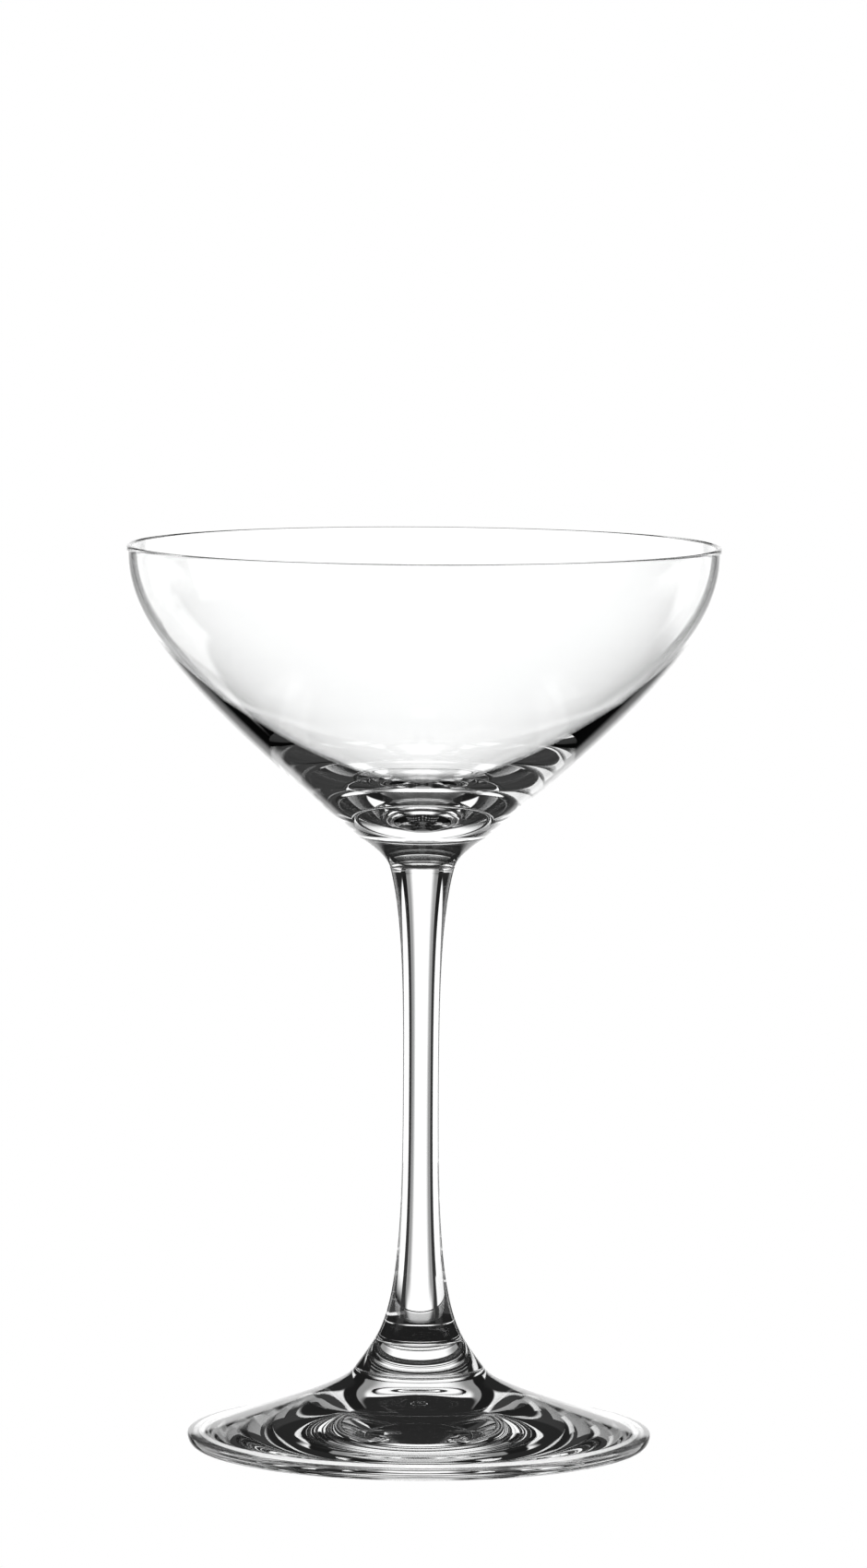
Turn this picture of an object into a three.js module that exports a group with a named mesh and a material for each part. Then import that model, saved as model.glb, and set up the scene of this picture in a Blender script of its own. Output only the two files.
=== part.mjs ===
// A stemmed saucer glass for martinis and other cocktails, in millimetres, +Z up.
// The origin is the centre of the plane that the foot rests on.
// Five pieces of clear glass are fused end to end along Z: foot, lower button, stem,
// upper button and bowl. Each weld is a flat disc, where two solids share one plane.
import * as THREE from "three";

// Driving dimensions
const height = 166;
const rimRadius = 54.5;
const rimWall = 1.05;
const cavityFloor = 117; // the lowest point of the drinking surface
const footRadius = 42.7;
const footEdgeHeight = 1.9; // where the foot is widest
const contactOuter = 41.2; // the flat ring that stands on the table
const contactInner = 40;
const dimpleDepth = 2.36; // rise of the foot's underside at its centre
const hollowDepth = 1.23; // rise of the underside round the edge of its dimple
const shelfDepth = 1.53; // rise of the underside where its shelf is highest
const waistRadius = 3.3; // the stem at its thinnest
const waistHeight = 66;

// Welds, as the height of the shared plane and the radius of the fused disc
const footWeld = { z: 14.3, r: 11.9 };
const stemFootWeld = { z: 19.6, r: 8.2 };
const stemBowlWeld = { z: 107, r: 6.0 };
const bowlWeld = { z: 112.6, r: 11.8 };

// Roundness: sides of every turned surface, and steps along each curve
const sides = 64;
const bowlSteps = 16;
const stemSteps = 10;
const footSteps = 14;
const dimpleSteps = 4;
const buttonSteps = 4;
const edgeSteps = 4;

const point = (r, z) => new THREE.Vector2(r, z);

// Points along a cubic Bezier, without its first one, so that curves chain into an outline.
function curve(from, control1, control2, to, steps) {
  const bezier = new THREE.CubicBezierCurve(from, control1, control2, to);
  return bezier.getPoints(steps).slice(1);
}

// A named solid of revolution about Z. The outline runs from the axis round to the axis,
// anticlockwise with the radius to the right and Z up.
function turned(name, outline) {
  const geometry = new THREE.LatheGeometry(outline, sides);
  geometry.rotateX(Math.PI / 2);
  const clearGlass = new THREE.MeshStandardMaterial({
    name: "clear_glass",
    color: 0xf4f7f7,
    roughness: 0.02,
    metalness: 0,
    transparent: true,
    opacity: 0.35,
  });
  const mesh = new THREE.Mesh(geometry, clearGlass);
  mesh.name = name;
  return mesh;
}

// The foot: a low cone that runs out to a soft edge. Its underside is hollowed to a shallow
// shelf with a dimple in the middle, so that only a narrow ring touches the table.
function makeFoot() {
  const weld = point(footWeld.r, footWeld.z);
  const shoulder = point(footRadius - 2.5, footEdgeHeight + 0.89);
  const widest = point(footRadius, footEdgeHeight);
  const contact = point(contactOuter, 0);
  const dimple = point(0, dimpleDepth);
  const dimpleEdge = point(8, hollowDepth);
  const shelf = point(16, shelfDepth);
  const ringInside = point(contactInner, 0);
  return turned("foot", [
    dimple,
    ...curve(dimple, point(2.7, dimpleDepth), point(5.3, hollowDepth), dimpleEdge, dimpleSteps),
    ...curve(dimpleEdge, point(10.7, hollowDepth), point(13.3, shelfDepth), shelf, dimpleSteps),
    ...curve(shelf, point(23, 1.4), point(36, 1.5), ringInside, footSteps / 2),
    contact,
    ...curve(contact, point(42.1, 0), point(footRadius, 0.85), widest, edgeSteps),
    ...curve(widest, point(footRadius, 2.7), point(41.7, 2.49), shoulder, edgeSteps),
    ...curve(shoulder, point(22.5, 8.35), point(13.3, 11.45), weld, footSteps),
    point(0, footWeld.z),
  ]);
}

// The lower button, a short flared bead that joins the stem to the foot.
function makeLowerButton() {
  const bottom = point(footWeld.r, footWeld.z);
  const top = point(stemFootWeld.r, stemFootWeld.z);
  return turned("lower_button", [
    point(0, footWeld.z),
    bottom,
    ...curve(bottom, point(10.6, 15.9), point(9.2, 18.0), top, buttonSteps),
    point(0, stemFootWeld.z),
  ]);
}

// The drawn stem, thinnest below its middle and flared at both ends.
function makeStem() {
  const bottom = point(stemFootWeld.r, stemFootWeld.z);
  const waist = point(waistRadius, waistHeight);
  const top = point(stemBowlWeld.r, stemBowlWeld.z);
  return turned("stem", [
    point(0, stemFootWeld.z),
    bottom,
    ...curve(bottom, point(3.6, 27), point(waistRadius, 45), waist, stemSteps),
    ...curve(waist, point(waistRadius, 84), point(3.55, 98.2), top, stemSteps),
    point(0, stemBowlWeld.z),
  ]);
}

// The upper button, the small cone of solid glass under the bowl.
function makeUpperButton() {
  const bottom = point(stemBowlWeld.r, stemBowlWeld.z);
  const top = point(bowlWeld.r, bowlWeld.z);
  return turned("upper_button", [
    point(0, stemBowlWeld.z),
    bottom,
    ...curve(bottom, point(6.6, 109), point(9.4, 110.9), top, buttonSteps),
    point(0, bowlWeld.z),
  ]);
}

// The bowl: a thin rounded saucer, open at the top, thicker towards its base.
function makeBowl() {
  const weld = point(bowlWeld.r, bowlWeld.z);
  const rim = point(rimRadius, height - rimWall / 2);
  const rimInside = point(rimRadius - rimWall, height - rimWall / 2);
  const rimTop = point(rimRadius - rimWall / 2, height);
  const middle = point(40, 139.4);
  const floorCentre = point(0, cavityFloor);
  return turned("bowl", [
    point(0, bowlWeld.z),
    weld,
    ...curve(weld, point(40.3, 136.4), point(54.3, 150), rim, bowlSteps),
    ...curve(rim, point(rim.x, 165.8), point(rimTop.x + 0.3, height), rimTop, 3),
    ...curve(rimTop, point(rimTop.x - 0.3, height), point(rimInside.x, 165.8), rimInside, 3),
    ...curve(rimInside, point(53.2, 156.9), point(50.4, 149.6), middle, bowlSteps / 2),
    ...curve(middle, point(32, 131.5), point(12.5, cavityFloor), floorCentre, bowlSteps),
  ]);
}

const glass = new THREE.Group();
glass.add(makeFoot(), makeLowerButton(), makeStem(), makeUpperButton(), makeBowl());

export default glass;
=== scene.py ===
# A clear stemmed cocktail glass on a pale table: five pieces of turned glass, fused end to end.
import math

import bpy
import numpy as np
from mathutils import Matrix, Vector


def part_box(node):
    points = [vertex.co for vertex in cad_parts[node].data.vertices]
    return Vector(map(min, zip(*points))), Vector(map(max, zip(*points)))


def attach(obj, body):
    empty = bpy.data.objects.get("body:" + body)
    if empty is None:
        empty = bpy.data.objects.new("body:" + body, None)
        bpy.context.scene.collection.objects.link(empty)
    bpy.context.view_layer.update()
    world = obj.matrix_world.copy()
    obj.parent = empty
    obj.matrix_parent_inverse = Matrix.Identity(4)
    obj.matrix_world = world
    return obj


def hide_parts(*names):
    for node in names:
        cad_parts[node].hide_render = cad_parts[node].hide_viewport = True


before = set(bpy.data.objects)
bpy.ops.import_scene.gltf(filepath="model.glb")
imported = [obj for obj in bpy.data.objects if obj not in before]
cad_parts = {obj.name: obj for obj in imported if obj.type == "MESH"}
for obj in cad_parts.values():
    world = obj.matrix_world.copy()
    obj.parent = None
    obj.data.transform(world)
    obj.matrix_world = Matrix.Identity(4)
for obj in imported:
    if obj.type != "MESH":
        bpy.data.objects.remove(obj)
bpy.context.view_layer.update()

mm = 0.001
print("stage 1: frame loaded")


# Shape tools. An outline is an array of (r, z) points in millimetres.

def cubic(start, control1, control2, end, steps):
    # A cubic Bezier: weights (1-t)^3, 3t(1-t)^2, 3t^2(1-t) and t^3 on its four points.
    t = np.linspace(0, 1, steps + 1)[:, None]
    a, b, c, d = (np.array(p, float) for p in (start, control1, control2, end))
    return (1 - t) ** 3 * a + 3 * t * (1 - t) ** 2 * b + 3 * t * t * (1 - t) * c + t ** 3 * d


def spoke(start, end, steps):
    # Points evenly spaced along a straight line.
    t = np.linspace(0, 1, steps + 1)[:, None]
    return (1 - t) * np.array(start, float) + t * np.array(end, float)


def chain(*runs):
    # Joins runs of points end to end and drops each point that repeats the one before.
    points = np.vstack(runs)
    gaps = np.linalg.norm(np.diff(points, axis=0), axis=1)
    return points[np.r_[True, gaps > 1e-6]]


def turned(name, outline, welds, sides=256):
    # A solid of revolution: point (i, j) is (r_i cos a_j, r_i sin a_j, z_i), a_j = 2 pi j / sides.
    # The outline runs from the axis to the axis, anticlockwise with r to the right and z up,
    # so the faces point outwards. Each end is one pole point with a fan of triangles.
    angle = np.arange(sides) * 2 * math.pi / sides
    r, z = outline[1:-1, :1], outline[1:-1, 1:]
    grid = np.stack([r * np.cos(angle), r * np.sin(angle), z + 0 * angle], axis=2)
    poles = [[0, 0, outline[0, 1]], [0, 0, outline[-1, 1]]]
    points = np.vstack([grid.reshape(-1, 3), poles]) * mm
    rows = len(r)
    i, j = np.meshgrid(np.arange(rows - 1), np.arange(sides), indexing="ij")
    k = (j + 1) % sides
    quads = np.stack([i * sides + j, i * sides + k, (i + 1) * sides + k, (i + 1) * sides + j], 2)
    j, k = j[0], k[0]
    last = (rows - 1) * sides
    startFan = np.stack([0 * j + rows * sides, k, j], 1)
    endFan = np.stack([0 * j + rows * sides + 1, last + j, last + k], 1)
    mesh = bpy.data.meshes.new(name)
    faces = quads.reshape(-1, 4).tolist() + startFan.tolist() + endFan.tolist()
    mesh.from_pydata(points.tolist(), [], faces)
    piece = bpy.data.objects.new(name, mesh)
    bpy.context.scene.collection.objects.link(piece)
    mesh.materials.append(None)
    mesh.materials.append(None)
    # faces that lie flat on a weld plane take the second material slot and stay flat-shaded
    count = len(mesh.polygons)
    centre, normal = np.empty(count * 3), np.empty(count * 3)
    mesh.polygons.foreach_get("center", centre)
    mesh.polygons.foreach_get("normal", normal)
    onWeld = np.zeros(count, bool)
    for height in welds:
        onWeld |= (np.abs(centre[2::3] - height * mm) < 1e-7) & (np.abs(normal[2::3]) > 0.999)
    mesh.polygons.foreach_set("material_index", onWeld.astype(np.int32))
    mesh.polygons.foreach_set("use_smooth", ~onWeld)
    return piece


def nodeRadius(node):
    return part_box(node)[1][0] / mm


def nodeHeights(node):
    low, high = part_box(node)
    return low[2] / mm, high[2] / mm


footBase, footWeldZ = nodeHeights("foot")
stemFootZ, stemBowlZ = nodeHeights("stem")
bowlWeldZ, rimZ = nodeHeights("bowl")
footWeldR = nodeRadius("lower_button")
stemFootR = nodeRadius("stem")
bowlWeldR = nodeRadius("upper_button")
stemBowlR = 6.0
weldSteps = 6  # points across each weld disc


# The bowl: a thin rounded saucer, thicker towards its base.

bowlSet = {
    "rimWall": 1.05,
    "outerLow": (40.3, 136.4),
    "outerHigh": (54.3, 150),
    "innerUpper": ((53.2, 156.9), (50.4, 149.6)),
    "innerMiddle": (40.0, 139.4),
    "innerLower": ((32.0, 131.5), (12.5, 117.0)),
    "cavityFloor": 117.0,
    "lipPoints": 13,
    "steps": 96,
}


def makeBowl(s):
    rim = nodeRadius("bowl")
    half = s["rimWall"] / 2
    turn = np.linspace(0, math.pi, s["lipPoints"])[:, None]  # a half-circle over the rim
    lip = np.hstack([rim - half + half * np.cos(turn), rimZ - half + half * np.sin(turn)])
    outline = chain(
        spoke((0, bowlWeldZ), (bowlWeldR, bowlWeldZ), weldSteps),
        cubic((bowlWeldR, bowlWeldZ), s["outerLow"], s["outerHigh"], lip[0], s["steps"]),
        lip,
        cubic(lip[-1], *s["innerUpper"], s["innerMiddle"], s["steps"] // 2),
        cubic(s["innerMiddle"], *s["innerLower"], (0, s["cavityFloor"]), s["steps"]),
    )
    return turned("bowl_glass", outline, [bowlWeldZ])


# The upper button: the small cone of solid glass under the bowl.

upperButtonSet = {"low": (6.6, 109), "high": (9.4, 110.9), "steps": 24}


def makeUpperButton(s):
    outline = chain(
        spoke((0, stemBowlZ), (stemBowlR, stemBowlZ), weldSteps),
        cubic((stemBowlR, stemBowlZ), s["low"], s["high"], (bowlWeldR, bowlWeldZ), s["steps"]),
        spoke((bowlWeldR, bowlWeldZ), (0, bowlWeldZ), weldSteps),
    )
    return turned("upper_button_glass", outline, [stemBowlZ, bowlWeldZ])


# The stem: a drawn rod, thinnest below its middle and flared at both ends.

stemSet = {
    "waistR": 3.3,
    "waistZ": 66,
    "flareLow": (3.6, 27),
    "waistLow": 45,
    "waistHigh": 84,
    "flareHigh": (3.55, 98.2),
    "steps": 80,
}


def makeStem(s):
    waist = (s["waistR"], s["waistZ"])
    outline = chain(
        spoke((0, stemFootZ), (stemFootR, stemFootZ), weldSteps),
        cubic((stemFootR, stemFootZ), s["flareLow"], (s["waistR"], s["waistLow"]), waist, s["steps"]),
        cubic(waist, (s["waistR"], s["waistHigh"]), s["flareHigh"], (stemBowlR, stemBowlZ), s["steps"]),
        spoke((stemBowlR, stemBowlZ), (0, stemBowlZ), weldSteps),
    )
    return turned("stem_glass", outline, [stemFootZ, stemBowlZ])


# The lower button: the flared bead that joins the stem to the foot.

lowerButtonSet = {"low": (10.6, 15.9), "high": (9.2, 18.0), "steps": 24}


def makeLowerButton(s):
    outline = chain(
        spoke((0, footWeldZ), (footWeldR, footWeldZ), weldSteps),
        cubic((footWeldR, footWeldZ), s["low"], s["high"], (stemFootR, stemFootZ), s["steps"]),
        spoke((stemFootR, stemFootZ), (0, stemFootZ), weldSteps),
    )
    return turned("lower_button_glass", outline, [footWeldZ, stemFootZ])


# The foot: a low cone with a soft edge, hollowed a little underneath.

footSet = {
    "edgeHeight": 1.9,
    "contactOuter": 41.2,
    "contactInner": 40.0,
    # Bezier points from the dimple at the centre, over the shelf and down to the contact ring
    "dimple": ((0, 2.36), (2.7, 2.36), (5.3, 1.23), (8, 1.23)),
    "dimpleEdge": ((8, 1.23), (10.7, 1.23), (13.3, 1.53), (16, 1.53)),
    "shelf": ((16, 1.53), (23, 1.4), (36, 1.5)),
    "edgeLow": ((42.1, 0), (42.7, 0.85)),
    "edgeHigh": ((42.7, 2.7), (41.7, 2.49)),
    "shoulder": (40.2, 2.79),
    "topControls": ((22.5, 8.35), (13.3, 11.45)),
    "steps": 96,
    "underSteps": 24,
    "contactSteps": 4,
    "edgeSteps": 16,
}


def makeFoot(s):
    widest = (nodeRadius("foot"), s["edgeHeight"])
    contact, ringInside = (s["contactOuter"], footBase), (s["contactInner"], footBase)
    outline = chain(
        cubic(*s["dimple"], s["underSteps"]),
        cubic(*s["dimpleEdge"], s["underSteps"]),
        cubic(*s["shelf"], ringInside, 2 * s["underSteps"]),
        spoke(ringInside, contact, s["contactSteps"]),
        cubic(contact, *s["edgeLow"], widest, s["edgeSteps"]),
        cubic(widest, *s["edgeHigh"], s["shoulder"], s["edgeSteps"]),
        cubic(s["shoulder"], *s["topControls"], (footWeldR, footWeldZ), s["steps"]),
        spoke((footWeldR, footWeldZ), (0, footWeldZ), weldSteps),
    )
    return turned("foot_glass", outline, [footWeldZ])


# Materials. Shared effects are node groups; every material keeps its own shader and bump.

def newGroup(name, inputs, outputs):
    group = bpy.data.node_groups.new(name, "ShaderNodeTree")
    for label, kind, value in inputs:
        socket = group.interface.new_socket(label, in_out="INPUT", socket_type=kind)
        if value is not None:
            socket.default_value = value
    for label, kind in outputs:
        group.interface.new_socket(label, in_out="OUTPUT", socket_type=kind)
    return group, group.nodes.new("NodeGroupInput").outputs, group.nodes.new("NodeGroupOutput").inputs


def mathIn(group, operation, *values):
    node = group.nodes.new("ShaderNodeMath")
    node.operation = operation
    for socket, value in zip(node.inputs, values):
        if isinstance(value, (int, float)):
            socket.default_value = value
        else:
            group.links.new(value, socket)
    return node.outputs[0]


def drawingWaves():
    # Noise read at (x/r * around, y/r * around, z * along + r * outward), so that it closes round
    # the axis and can stretch into lengthwise lines, level bands or spun rings.
    inputs = (
        ("Coordinates", "NodeSocketVector", None),
        ("Around", "NodeSocketFloat", 2.0),
        ("Along", "NodeSocketFloat", 40.0),
        ("Outward", "NodeSocketFloat", 40.0),
        ("Detail", "NodeSocketFloat", 2.0),
    )
    group, given, result = newGroup("drawing_waves", inputs, (("Height", "NodeSocketFloat"),))
    split = group.nodes.new("ShaderNodeSeparateXYZ")
    group.links.new(given["Coordinates"], split.inputs[0])
    x, y, z = split.outputs
    squares = mathIn(group, "ADD", mathIn(group, "MULTIPLY", x, x), mathIn(group, "MULTIPLY", y, y))
    r = mathIn(group, "SQRT", squares)
    turn = mathIn(group, "DIVIDE", given["Around"], mathIn(group, "MAXIMUM", r, 0.5 * mm))
    upward = mathIn(group, "MULTIPLY", z, given["Along"])
    level = mathIn(group, "ADD", upward, mathIn(group, "MULTIPLY", r, given["Outward"]))
    joined = group.nodes.new("ShaderNodeCombineXYZ")
    spun = mathIn(group, "MULTIPLY", x, turn), mathIn(group, "MULTIPLY", y, turn)
    for socket, value in zip(joined.inputs, (*spun, level)):
        group.links.new(value, socket)
    noise = group.nodes.new("ShaderNodeTexNoise")
    noise.inputs["Scale"].default_value = 1.0
    noise.inputs["Roughness"].default_value = 0.4
    group.links.new(joined.outputs[0], noise.inputs["Vector"])
    group.links.new(given["Detail"], noise.inputs["Detail"])
    group.links.new(noise.outputs["Fac"], result["Height"])
    return group


def handlingMarks():
    # Fine scuffs where the foot slides on a table, and nowhere else.
    inputs = (
        ("Coordinates", "NodeSocketVector", None),
        ("Scuff Height", "NodeSocketFloat", 0.0004),
        ("Scuff Roughness", "NodeSocketFloat", 0.25),
    )
    group, given, result = newGroup("handling_marks", inputs, (("Roughness", "NodeSocketFloat"),))
    split = group.nodes.new("ShaderNodeSeparateXYZ")
    group.links.new(given["Coordinates"], split.inputs[0])
    low = group.nodes.new("ShaderNodeMapRange")
    group.links.new(split.outputs[2], low.inputs["Value"])
    group.links.new(given["Scuff Height"], low.inputs["From Max"])
    low.inputs["To Min"].default_value, low.inputs["To Max"].default_value = 1.0, 0.0
    noise = group.nodes.new("ShaderNodeTexNoise")
    noise.inputs["Scale"].default_value = 900.0
    group.links.new(given["Coordinates"], noise.inputs["Vector"])
    marks = mathIn(group, "MULTIPLY", low.outputs[0], noise.outputs["Fac"])
    group.links.new(mathIn(group, "MULTIPLY", marks, given["Scuff Roughness"]), result["Roughness"])
    return group


def crystalTint():
    # Colourless crystal with a trace of grey-green that drifts slowly through the metal.
    inputs = (
        ("Coordinates", "NodeSocketVector", None),
        ("Clear", "NodeSocketColor", (1, 1, 1, 1)),
        ("Trace", "NodeSocketColor", (0.985, 0.992, 0.99, 1)),
    )
    group, given, result = newGroup("crystal_tint", inputs, (("Tint", "NodeSocketColor"),))
    noise = group.nodes.new("ShaderNodeTexNoise")
    noise.inputs["Scale"].default_value = 45.0
    noise.inputs["Detail"].default_value = 1.0
    group.links.new(given["Coordinates"], noise.inputs["Vector"])
    mix = group.nodes.new("ShaderNodeMix")
    mix.data_type = "RGBA"
    group.links.new(noise.outputs["Fac"], mix.inputs[0])
    group.links.new(given["Clear"], mix.inputs[6])
    group.links.new(given["Trace"], mix.inputs[7])
    group.links.new(mix.outputs[2], result["Tint"])
    return group


wavesGroup, marksGroup, tintGroup = drawingWaves(), handlingMarks(), crystalTint()

# depth is the height of the waves in millimetres; the rest are waves per turn and per metre
crystalSet = {
    "bowl_crystal": {"around": 1.6, "along": 30, "outward": 30, "detail": 1.5, "depth": 0.02},
    "button_crystal": {"around": 1.2, "along": 160, "outward": 60, "detail": 1.0, "depth": 0.01},
    "stem_crystal": {"around": 2.5, "along": 9, "outward": 0, "detail": 1.0, "depth": 0.008},
    "foot_crystal": {"around": 0.8, "along": 0, "outward": 170, "detail": 1.0, "depth": 0.01},
}


def newMaterial(name):
    material = bpy.data.materials.new(name)
    material.use_nodes = True
    return material, material.node_tree.nodes["Principled BSDF"]


def crystal(name):
    s = crystalSet[name]
    material, shader = newMaterial(name)
    nodes, links = material.node_tree.nodes, material.node_tree.links
    shader.inputs["Metallic"].default_value = 0.0
    shader.inputs["IOR"].default_value = 1.52
    shader.inputs["Transmission Weight"].default_value = 1.0
    place = nodes.new("ShaderNodeTexCoord").outputs["Object"]

    def use(group, **values):
        node = nodes.new("ShaderNodeGroup")
        node.node_tree = group
        links.new(place, node.inputs["Coordinates"])
        for label, value in values.items():
            node.inputs[label].default_value = value
        return node.outputs[0]

    links.new(use(tintGroup), shader.inputs["Base Color"])
    links.new(use(marksGroup), shader.inputs["Roughness"])
    spread = {"Around": s["around"], "Along": s["along"], "Outward": s["outward"]}
    waves = use(wavesGroup, **spread, Detail=s["detail"])
    bump = nodes.new("ShaderNodeBump")
    bump.inputs["Strength"].default_value = 1.0
    bump.inputs["Distance"].default_value = s["depth"] * mm
    links.new(waves, bump.inputs["Height"])
    links.new(bump.outputs[0], shader.inputs["Normal"])
    return material


def fusedSeam(name):
    # Two gathers fused hot have no surface between them, so light passes straight through.
    material, shader = newMaterial(name)
    shader.inputs["Alpha"].default_value = 0.0
    return material


buttonGlass, seam = crystal("button_crystal"), fusedSeam("fused_seam")

for piece, node, slot, glass in (
    (makeFoot(footSet), "foot", "foot_glass", crystal("foot_crystal")),
    (makeLowerButton(lowerButtonSet), "lower_button", "button_glass", buttonGlass),
    (makeStem(stemSet), "stem", "stem_glass", crystal("stem_crystal")),
    (makeUpperButton(upperButtonSet), "upper_button", "button_glass", buttonGlass),
    (makeBowl(bowlSet), "bowl", "bowl_glass", crystal("bowl_crystal")),
):
    piece.data.materials[0] = glass
    piece.data.materials[1] = seam
    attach(piece, "root")
    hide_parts(node)
print("stage 2: glass made")


# The studio: a bright surround with narrow dark gaps, a pale table, two cards and the camera.
# Azimuths and elevations are in degrees, and tones are a share of white.

studioSet = {
    "bright": 1.24,
    "grey": 0.34,
    "brightTo": 10.5,  # degrees to either side of the direction that the lens faces
    "greyTo": 19,
    "gapFrom": 23.5,
    "gapTo": 31.2,
    "gapTone": 0.01,
    "panelTo": 56,
    "edgeBlur": (1, 1.5, 4),  # degrees over which the gap starts, the gap ends and the panel ends
    "flagTone": 0.05,
    "roomFrom": 90,
    "roomTo": 104,
    "roomEnd": (121, 127),
    "roomTone": 0.56,
    "roomHeight": (-18, 22),
    "roomBlur": 10,
    "lowTone": 0.25,
    "spillFrom": 50,
    "horizonAhead": 10,
    "horizonAside": -19.5,
    "slope": (30, 90),
    "horizonBlur": 3,
    "overhead": 0.02,
    "panelFoot": (-30, -18),
    "sideFoot": (-18, -11),
    "footTurn": (50, 62),
    "floorAhead": 0.45,
    "floorNear": 0.1,
    "stripFar": (-50, -40),
    "stripNear": (-70, -60),
    "stripSide": (16, 23),
    "floorTone": 0.01,
    "backdrop": 1.0,
    "windowTone": 1.1,
    # azimuth, half width and elevations of the pale windows that stand behind the glass as seen from
    # other sides
    "windows": ((-90, 12, -18, 5), (135, 14, -24, -8), (-45, 14, -33, -20)),
    "windowBlur": (3, 1),  # at the sides and the foot, and at the top
}


def makeSurround(s):
    world = bpy.data.worlds.new("studio_surround")
    world.use_nodes = True
    bpy.context.scene.world = world
    nodes, links = world.node_tree.nodes, world.node_tree.links
    nodes.clear()

    def feed(socket, value):
        if isinstance(value, (int, float)):
            socket.default_value = value
        else:
            links.new(value, socket)

    def do(operation, *values):
        node = nodes.new("ShaderNodeMath")
        node.operation = operation
        for socket, value in zip(node.inputs, values):
            feed(socket, value)
        return node.outputs[0]

    def ramp(value, low, high, toLow=0.0, toHigh=1.0, kind="SMOOTHSTEP"):
        node = nodes.new("ShaderNodeMapRange")
        node.interpolation_type = kind
        limits = (("From Min", low), ("From Max", high), ("To Min", toLow), ("To Max", toHigh))
        for name, number in (("Value", value), *limits):
            feed(node.inputs[name], number)
        return node.outputs[0]

    def blend(factor, a, b):
        return do("ADD", do("MULTIPLY", do("SUBTRACT", 1, factor), a), do("MULTIPLY", factor, b))

    coord = nodes.new("ShaderNodeTexCoord")
    split = nodes.new("ShaderNodeSeparateXYZ")
    links.new(coord.outputs["Generated"], split.inputs[0])
    x, y, z = split.outputs
    # azimuth from the direction that the lens faces, and height above the horizon, in degrees
    azimuth = do("DEGREES", do("ARCTAN2", x, y))
    away = do("ABSOLUTE", azimuth)
    height = do("DEGREES", do("ARCSINE", z))
    gapIn, gapOut, panelBlur = s["edgeBlur"]
    # black flags stand at the sides, and pale walls of limited height behind them
    (wallLow, wallTop), blur = s["roomHeight"], s["roomBlur"]
    upright = ramp(height, wallLow - blur, wallLow), ramp(height, wallTop, wallTop + blur, 1, 0)
    wall = do("MULTIPLY", *upright)
    across = do("MULTIPLY", ramp(away, s["roomFrom"], s["roomTo"]), ramp(away, *s["roomEnd"], 1, 0))
    wall = do("MULTIPLY", across, wall)
    room = blend(wall, s["flagTone"], s["roomTone"])
    pastPanel = ramp(away, s["panelTo"], s["panelTo"] + panelBlur)
    # a bright backdrop ahead, a dark gap to either side of it, then a bright panel
    low = blend(ramp(away, s["brightTo"], s["greyTo"]), s["bright"], s["grey"])
    low = blend(ramp(away, s["gapFrom"] - gapIn, s["gapFrom"]), low, s["gapTone"])
    low = blend(ramp(away, s["gapTo"], s["gapTo"] + gapOut), low, s["bright"])
    spill = ramp(away, s["spillFrom"], s["roomTo"], s["bright"], s["lowTone"])
    low = blend(pastPanel, low, do("MAXIMUM", spill, room))
    # above them the studio is dark ahead, and as dark as the flags or the wall elsewhere
    high = blend(pastPanel, s["overhead"], room)
    horizon = ramp(away, *s["slope"], s["horizonAhead"], s["horizonAside"], "LINEAR")
    tone = blend(ramp(do("SUBTRACT", height, horizon), 0, s["horizonBlur"]), low, high)
    # below them the floor is black, but for a lit strip that dims towards the glass
    strip = blend(ramp(height, *s["stripFar"]), s["floorAhead"], s["bright"])
    strip = blend(ramp(height, *s["stripNear"]), s["floorNear"], strip)
    floorTone = blend(ramp(away, *s["stripSide"]), strip, s["floorTone"])
    # the panels reach down to the floor, lower ahead than at the sides
    aside = ramp(away, *s["footTurn"])
    edges = zip(s["panelFoot"], s["sideFoot"])
    footLow, footHigh = (blend(aside, front, side) for front, side in edges)
    tone = blend(ramp(height, footLow, footHigh), floorTone, tone)
    # pale windows that stand behind the glass as it is seen from other sides
    blur, topBlur = s["windowBlur"]
    for middle, half, bottom, top in s["windows"]:
        off = do("ABSOLUTE", do("SUBTRACT", azimuth, middle))
        across = do("MULTIPLY", ramp(off, half, half + blur, 1, 0), s["windowTone"])
        upright = ramp(height, bottom - blur, bottom), ramp(height, top, top + topBlur, 1, 0)
        tone = do("MAXIMUM", tone, do("MULTIPLY", across, do("MULTIPLY", *upright)))
    path = nodes.new("ShaderNodeLightPath")
    back = nodes.new("ShaderNodeBackground")
    links.new(blend(path.outputs["Is Camera Ray"], tone, s["backdrop"]), back.inputs["Color"])
    out = nodes.new("ShaderNodeOutputWorld")
    links.new(back.outputs[0], out.inputs["Surface"])


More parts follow.
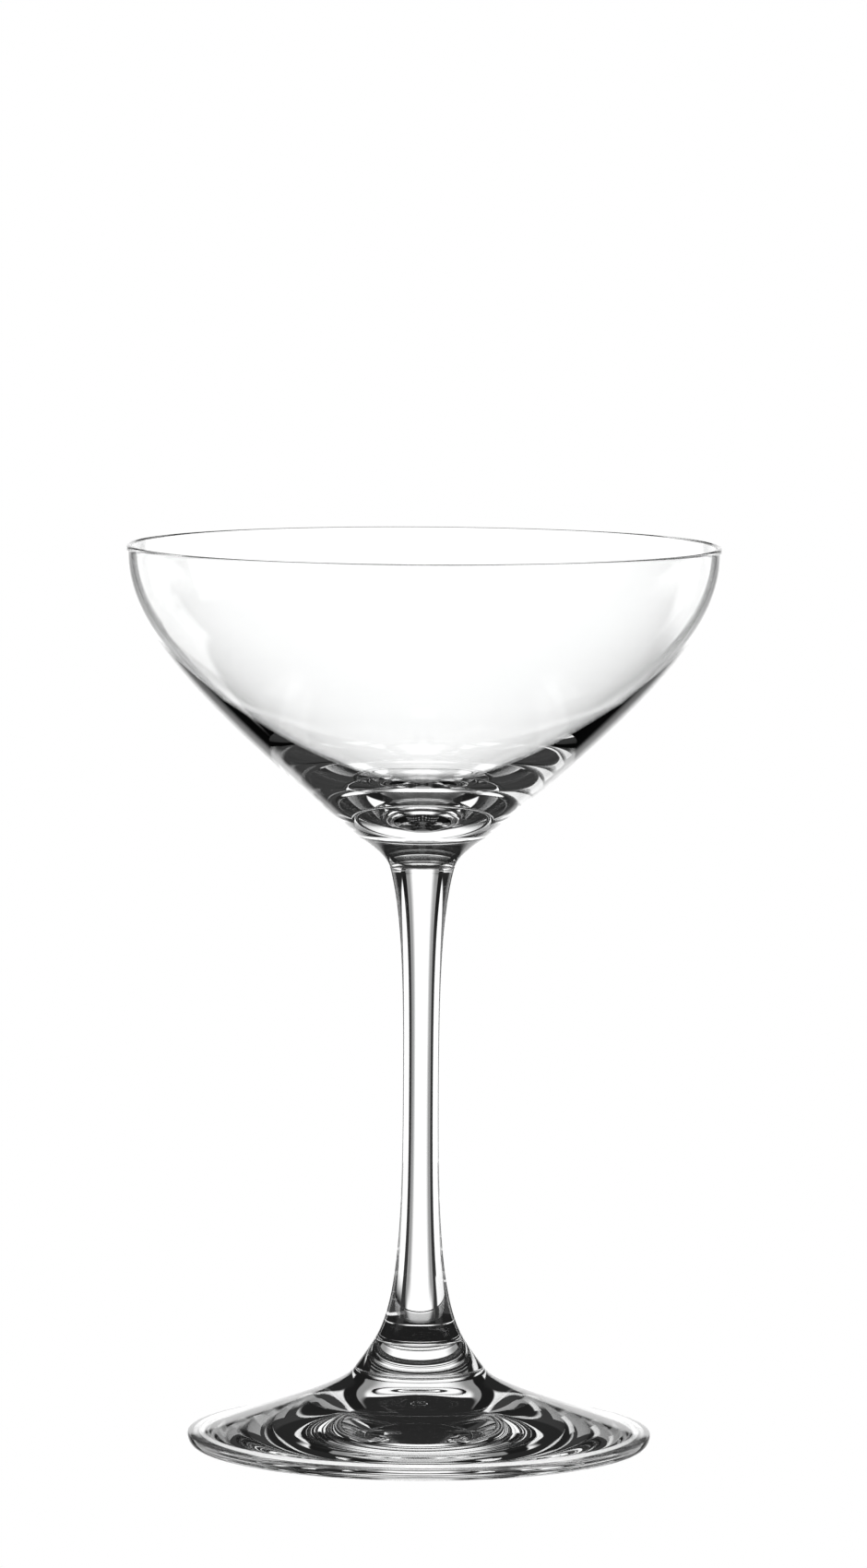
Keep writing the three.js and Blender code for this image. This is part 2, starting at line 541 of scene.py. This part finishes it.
def glowingSheet(name, corners, tone):
    # A flat sheet that gives off an even light and reflects none.
    mesh = bpy.data.meshes.new(name)
    mesh.from_pydata(corners, [], [(0, 1, 2, 3)])
    sheet = bpy.data.objects.new(name, mesh)
    bpy.context.scene.collection.objects.link(sheet)
    material, shader = newMaterial(name)
    shader.inputs["Emission Color"].default_value = (1, 1, 1, 1)
    shader.inputs["Emission Strength"].default_value = tone
    shader.inputs["Base Color"].default_value = (0, 0, 0, 1)
    shader.inputs["Specular IOR Level"].default_value = 0
    mesh.materials.append(material)
    return sheet


def makeFloor():
    floor = glowingSheet("table_top", [(-1, -1, 0), (1, -1, 0), (1, 1, 0), (-1, 1, 0)], 1.0)
    floor.location.z = footBase * mm - 0.0001
    floor.visible_diffuse = floor.visible_glossy = floor.visible_transmission = False


# metres; the cards stand so close and so low that the foot looks into them and the bowl does not
cardSet = {"aside": 0.09, "near": -0.016, "far": 0.056, "top": 0.035, "tone": 0.45}


def makeCards(s):
    for name, x in (("left_card", -s["aside"]), ("right_card", s["aside"])):
        near, far, top = s["near"], s["far"], s["top"]
        corners = [(x, near, 0), (x, far, 0), (x, far, top), (x, near, top)]
        card = glowingSheet(name, corners, s["tone"])
        card.visible_camera = card.visible_shadow = False


# metres, but for pitch and roll in degrees and the lens in millimetres
cameraSet = {
    "distance": 1.6342,
    "height": 0.2708,
    "aside": 0.00196,
    "pitch": 5.198,
    "roll": 0.36,
    "lens": 205.6,
}


def makeCamera(s):
    camera = bpy.data.objects.new("camera", bpy.data.cameras.new("camera"))
    bpy.context.scene.collection.objects.link(camera)
    camera.data.lens = s["lens"]
    camera.data.clip_start, camera.data.clip_end = 0.05, 200
    camera.location = (s["aside"], -s["distance"], s["height"])
    look = Vector((0, math.cos(math.radians(s["pitch"])), -math.sin(math.radians(s["pitch"]))))
    turn = look.to_track_quat("-Z", "Y").to_matrix().to_4x4()
    camera.rotation_euler = (turn @ Matrix.Rotation(math.radians(s["roll"]), 4, "Z")).to_euler()
    bpy.context.scene.camera = camera


makeSurround(studioSet)
makeFloor()
makeCards(cardSet)
makeCamera(cameraSet)
scene = bpy.context.scene
scene.view_settings.view_transform = "Standard"
scene.view_settings.look = "None"
scene.cycles.max_bounces = 32
scene.cycles.transmission_bounces = 32
scene.cycles.glossy_bounces = 16
scene.cycles.transparent_max_bounces = 32
print("stage 3: studio set")
